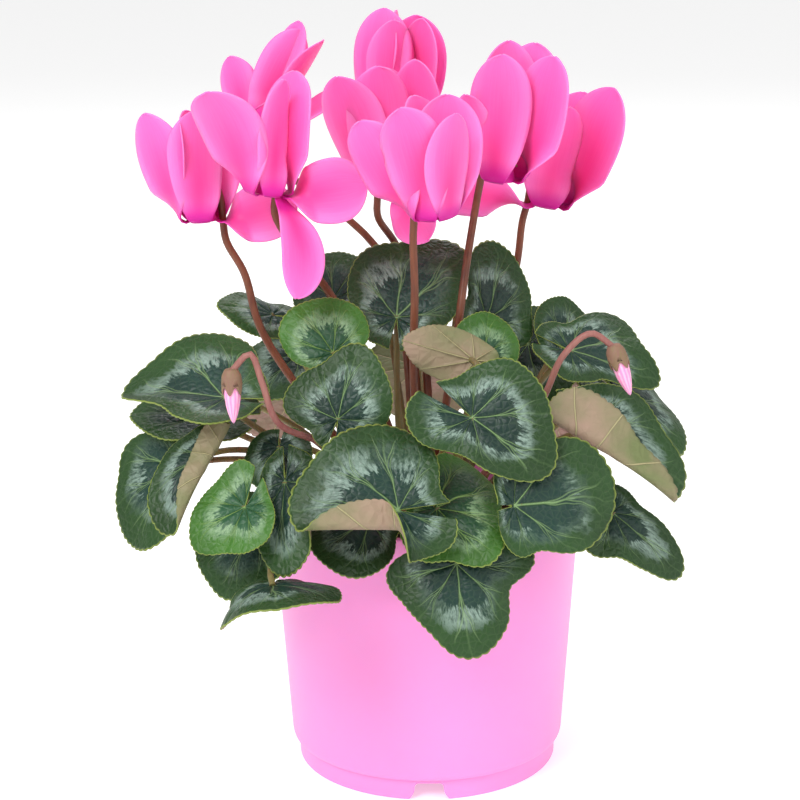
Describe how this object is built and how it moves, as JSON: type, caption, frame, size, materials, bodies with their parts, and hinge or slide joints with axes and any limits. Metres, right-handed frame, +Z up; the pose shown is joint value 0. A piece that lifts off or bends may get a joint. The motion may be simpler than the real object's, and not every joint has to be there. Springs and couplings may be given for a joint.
{
  "type": "potted cyclamen",
  "caption": "Flowering cyclamen in a tapered plastic pot: patterned heart-shaped leaves on stalks, swept-back pink blooms and hanging buds above them.",
  "frame": {"origin": "middle of the whole plant's outline on the ground, under the pot's foot; the pot's own axis stands 7 mm to +X and 6 mm to +Y of it", "axes": "+Z up out of the pot, -Y towards the side that the picture shows, +X to its right"},
  "size_m": [0.2302, 0.2374, 0.3046],
  "materials": {
    "pot": "satin moulded polypropylene",
    "soil": "damp peat potting soil",
    "tuber": "dull corky skin",
    "leaf": "waxy leaf, silver band and pale veins",
    "petal": "satin petal, deeper at its foot",
    "flower_stem": "smooth red-brown stem",
    "bud": "rolled pale pink petals",
    "bud_stem": "fine-haired brown-pink stem"
  },
  "bodies": {
    "root": {"pot": "pot", "soil": "soil", "tuber": "tuber", "leaf_01": "leaf", "leaf_02": "leaf", "leaf_03": "leaf", "leaf_04": "leaf", "leaf_05": "leaf", "leaf_06": "leaf", "leaf_07": "leaf", "leaf_08": "leaf", "leaf_09": "leaf", "leaf_10": "leaf", "leaf_11": "leaf", "leaf_12": "leaf", "leaf_13": "leaf", "leaf_14": "leaf", "leaf_15": "leaf", "leaf_16": "leaf", "leaf_17": "leaf", "leaf_18": "leaf", "leaf_19": "leaf", "leaf_20": "leaf", "leaf_21": "leaf", "leaf_22": "leaf", "leaf_23": "leaf", "leaf_24": "leaf", "leaf_25": "leaf", "leaf_26": "leaf", "leaf_27": "leaf", "leaf_28": "leaf", "leaf_29": "leaf", "leaf_30": "leaf", "leaf_31": "leaf", "leaf_32": "leaf", "leaf_33": "leaf", "leaf_34": "leaf", "leaf_35": "leaf", "leaf_36": "leaf", "leaf_37": "leaf", "bloom_1_petals": "petal", "bloom_1_stem": "flower_stem", "bloom_2_petals": "petal", "bloom_2_stem": "flower_stem", "bloom_3_petals": "petal", "bloom_3_stem": "flower_stem", "bloom_4_petals": "petal", "bloom_4_stem": "flower_stem", "bloom_5_petals": "petal", "bloom_5_stem": "flower_stem", "bloom_6_petals": "petal", "bloom_6_stem": "flower_stem", "bloom_7_petals": "petal", "bloom_7_stem": "flower_stem", "bloom_8_petals": "petal", "bloom_8_stem": "flower_stem", "bud_1_petals": "bud", "bud_1_stem": "bud_stem", "bud_2_petals": "bud", "bud_2_stem": "bud_stem"}
  },
  "joints": []
}
